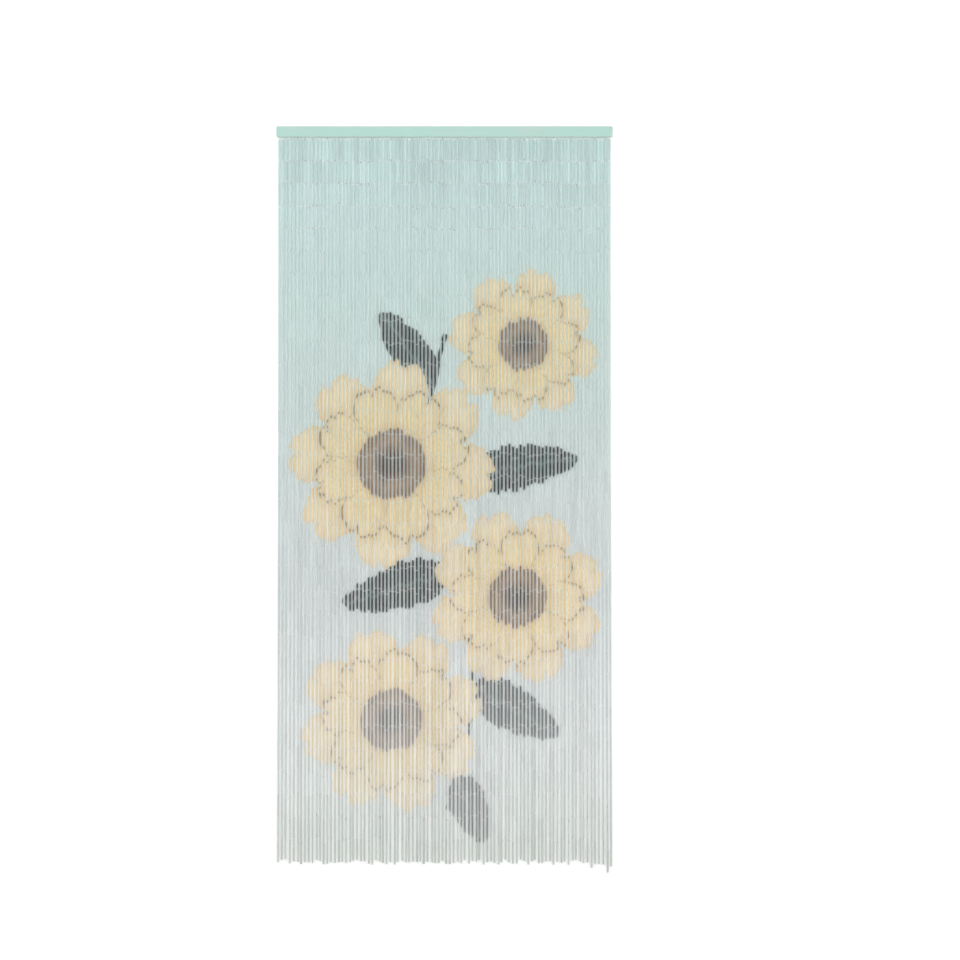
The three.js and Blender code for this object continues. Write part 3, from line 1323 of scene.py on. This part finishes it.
@dataclass(frozen=True)
class Studio:
    """A pale wall and floor, soft light, and a camera square to the curtain's front.

    The wall glows a little beside the curtain; behind the strands it has painted shade and painted
    mint bounce light, more toward the top.
    """

    metres_per_pixel: float = 0.002682
    frame_pixels: int = 960
    batten_top_row: float = 126.8
    curtain_centre_column: float = 444.5
    batten_top: float = 0.014
    lens: float = 120
    sensor: float = 36
    view_depth: float = 100
    wall_gap: float = 0.0006
    floor_height: float = -2.35
    half_width: float = 7.0
    wall_height: float = 6.0
    floor_half: float = 30.0
    surround_radius: float = 34.0
    wall_glow: Steps = (-1.9, -0.7, 0.12, 0.0)
    # Painted shade and painted mint bounce light on the wall behind the strands: where it begins
    # and is full, by height
    wall_shade_and_bounce: Steps = (-1.6, -0.5)
    glow_beside: float = 0.16
    rim: float = 0.012
    floor_far: Steps = (2.0, 7.0)
    floor_behind: float = 0.6
    floor_glow: float = 0.42
    world_strength: float = 0.37
    lights: tuple[AreaLight, ...] = (
        AreaLight("key_light", (-2.2, -4.4, 1.3), size=3.2, power=95, aim_height=-0.95),
        AreaLight("fill_light", (2.8, -4.6, -0.2), size=3.4, power=84, aim_height=-1.0),
        AreaLight("back_light", (-1.6, 4.4, 1.2), size=3.2, power=105, aim_height=-0.9),
    )

    WHITE: Colour = field(default=(0.95, 0.95, 0.95, 1), init=False)
    # Painted shade and painted mint bounce light for the wall behind the strands
    SHADE_AND_BOUNCE: Colour = field(default=(0.82, 0.89, 0.885, 1), init=False)
    FLOOR: Colour = field(default=(0.8, 0.8, 0.8, 1), init=False)
    SHELL: Colour = field(default=(0.78, 0.78, 0.78, 1), init=False)

    def build(self) -> None:
        """Makes the wall, the floor, the lights, the world and the camera."""
        self._wall()
        self._floor()
        self._surround()
        self._world()
        for light in self.lights:
            light.build()
        self._camera()
        bpy.context.scene.view_settings.view_transform = "Standard"

    @staticmethod
    def _sheet(name: str, corners: Sequence[Triple]) -> bpy.types.Mesh:
        """A flat sheet through four corners."""
        mesh = bpy.data.meshes.new(name)
        mesh.from_pydata(corners, [], [(0, 1, 2, 3)])
        return mesh

    @staticmethod
    def _staged(mesh: bpy.types.Mesh, material: bpy.types.Material) -> bpy.types.Object:
        """Gives a mesh its material, and puts it in the scene."""
        mesh.materials.append(material)
        staged = placed(mesh.name, mesh)
        return staged

    @staticmethod
    def _pale(recipe: Recipe, colour: Any, glow: Shade, roughness: float, shine: float) -> Shade:
        """A pale surface that glows by itself where little light falls."""
        return recipe.principled(
            {
                "Base Color": colour,
                "Roughness": roughness,
                "Specular IOR Level": shine,
                "Emission Color": recipe.grey(glow),
                "Emission Strength": 1.0,
            }
        )

    def _wall(self) -> None:
        """A white wall at the batten's back that is seen from its front side only."""
        half, gap = self.half_width, self.wall_gap
        low, top = self.floor_height, self.floor_height + self.wall_height
        corners = [(-half, gap, low), (half, gap, low), (half, gap, top), (-half, gap, top)]
        recipe = Recipe("studio_wall")
        behind = recipe.node("ShaderNodeNewGeometry", output="Backfacing")
        place = recipe.node("ShaderNodeNewGeometry")
        z = recipe.axis(place, "Z")
        (_, _, foot), (side, _, head) = CAD_BOX
        covered = abs(recipe.axis(place, "X")).ease(side - self.rim, side, 1.0, 0.0)
        covered = covered * z.ease(foot, foot + self.rim) * z.ease(head - self.rim, head, 1.0, 0.0)
        glow = z.ease(*self.wall_glow) * covered + (1 - covered) * self.glow_beside
        # Painted shade and painted mint bounce light on the wall behind the strands, fuller toward
        # the top
        shaded_wall_colour = recipe.mix(self.WHITE, self.SHADE_AND_BOUNCE, covered * z.ease(*self.wall_shade_and_bounce))
        white = self._pale(recipe, shaded_wall_colour, glow, roughness=1.0, shine=0.0)
        clear = recipe.node("ShaderNodeBsdfTransparent")
        surface = recipe.node("ShaderNodeMixShader", None, {0: behind, 1: white, 2: clear})
        wall = self._staged(self._sheet("studio_wall", corners), recipe.show(surface))
        wall.visible_shadow = False

    def _floor(self) -> None:
        """A pale floor well below the curtain's foot, which glows where little light falls."""
        half, low = self.floor_half, self.floor_height
        corners = [(-half, -half, low), (half, -half, low), (half, half, low), (-half, half, low)]
        recipe = Recipe("studio_floor")
        place = recipe.node("ShaderNodeNewGeometry")
        x, y = recipe.axis(place, "X"), recipe.axis(place, "Y")
        far = (x * x + y * y).root().ease(*self.floor_far)
        glow = far.most((y > 0.0) * self.floor_behind) * self.floor_glow
        pale = self._pale(recipe, self.FLOOR, glow, roughness=0.8, shine=0.5)
        self._staged(self._sheet("studio_floor", corners), recipe.show(pale))

    def _surround(self) -> None:
        """A pale shell far outside that is seen, and gives and stops no light."""
        mesh = bpy.data.meshes.new("studio_surround")
        shell = bmesh.new()
        bmesh.ops.create_icosphere(shell, subdivisions=3, radius=self.surround_radius)
        shell.to_mesh(mesh)
        shell.free()
        recipe = Recipe("studio_surround")
        pale = recipe.node("ShaderNodeEmission", None, {"Color": self.SHELL})
        surround = self._staged(mesh, recipe.show(pale))
        for ray in ("diffuse", "glossy", "transmission", "shadow"):
            setattr(surround, f"visible_{ray}", False)

    def _world(self) -> None:
        """An even white surround."""
        world = bpy.data.worlds.new("studio_world")
        world.use_nodes = True
        background = world.node_tree.nodes["Background"]
        background.inputs["Color"].default_value = (1, 1, 1, 1)
        background.inputs["Strength"].default_value = self.world_strength
        bpy.context.scene.world = world

    def _camera(self) -> None:
        """A long lens, level and square to the curtain, with the curtain left of the middle."""
        middle = self.frame_pixels / 2
        x = (middle - self.curtain_centre_column) * self.metres_per_pixel
        z = self.batten_top - (middle - self.batten_top_row) * self.metres_per_pixel
        distance = self.metres_per_pixel * self.frame_pixels * self.lens / self.sensor
        data = bpy.data.cameras.new("camera")
        data.lens = self.lens
        data.sensor_width = self.sensor
        data.clip_end = self.view_depth
        camera = placed("camera", data)
        camera.location = (x, -distance, z)
        camera.rotation_euler = (math.pi / 2, 0, 0)
        bpy.context.scene.camera = camera


def report_piece(piece: bpy.types.Object) -> None:
    """Logs a piece's name and how many faces it has."""
    LOG.info("%s: %d faces", piece.name, len(piece.data.polygons))


def main() -> None:
    """Builds the curtain and its studio."""
    logging.basicConfig(level=logging.INFO, format="%(message)s")
    Studio().build()
    plan = StrandPlan()
    report_piece(HeadBatten(BattenPaint().build()).dress())
    for piece in BambooTubes(plan, TubePaint().build(), CutBamboo().build()).build():
        report_piece(piece)
    wire = LoopWire().build()
    links = WireLinks(plan, wire)
    for piece in links.build():
        report_piece(piece)
    report_piece(HangingEyes(plan, wire, links).build())


if __name__ == "__main__":
    main()
